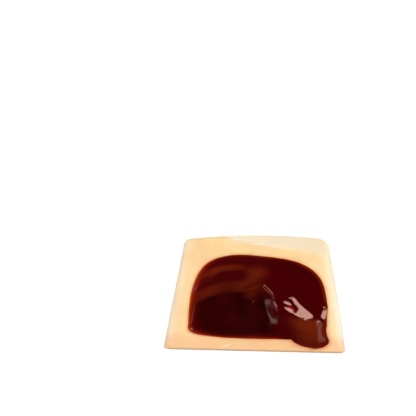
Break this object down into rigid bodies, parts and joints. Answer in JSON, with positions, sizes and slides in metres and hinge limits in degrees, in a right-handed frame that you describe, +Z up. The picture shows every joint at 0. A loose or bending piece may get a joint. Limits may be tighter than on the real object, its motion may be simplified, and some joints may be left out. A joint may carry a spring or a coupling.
{
  "type": "hazelnut praline",
  "caption": "Cut-open filled praline: tapered white chocolate shell standing on its base, dark glossy filling scooped at the left and dripping over the lower right of the cut.",
  "frame": {"origin": "on the surface it stands on, midway between the outermost points across and front to back, drip included", "axes": "+Z up, -Y out of the cut face, +X to the viewer's right across the cut face, towards the drip"},
  "size_m": [0.03, 0.0166, 0.0189],
  "materials": {
    "white_chocolate": "satin white chocolate, cream coloured, slightly translucent",
    "dark_filling": "glossy dark red-brown chocolate cream"
  },
  "bodies": {
    "root": {"white_chocolate_shell": "white_chocolate", "praline_filling": "dark_filling"}
  },
  "joints": []
}
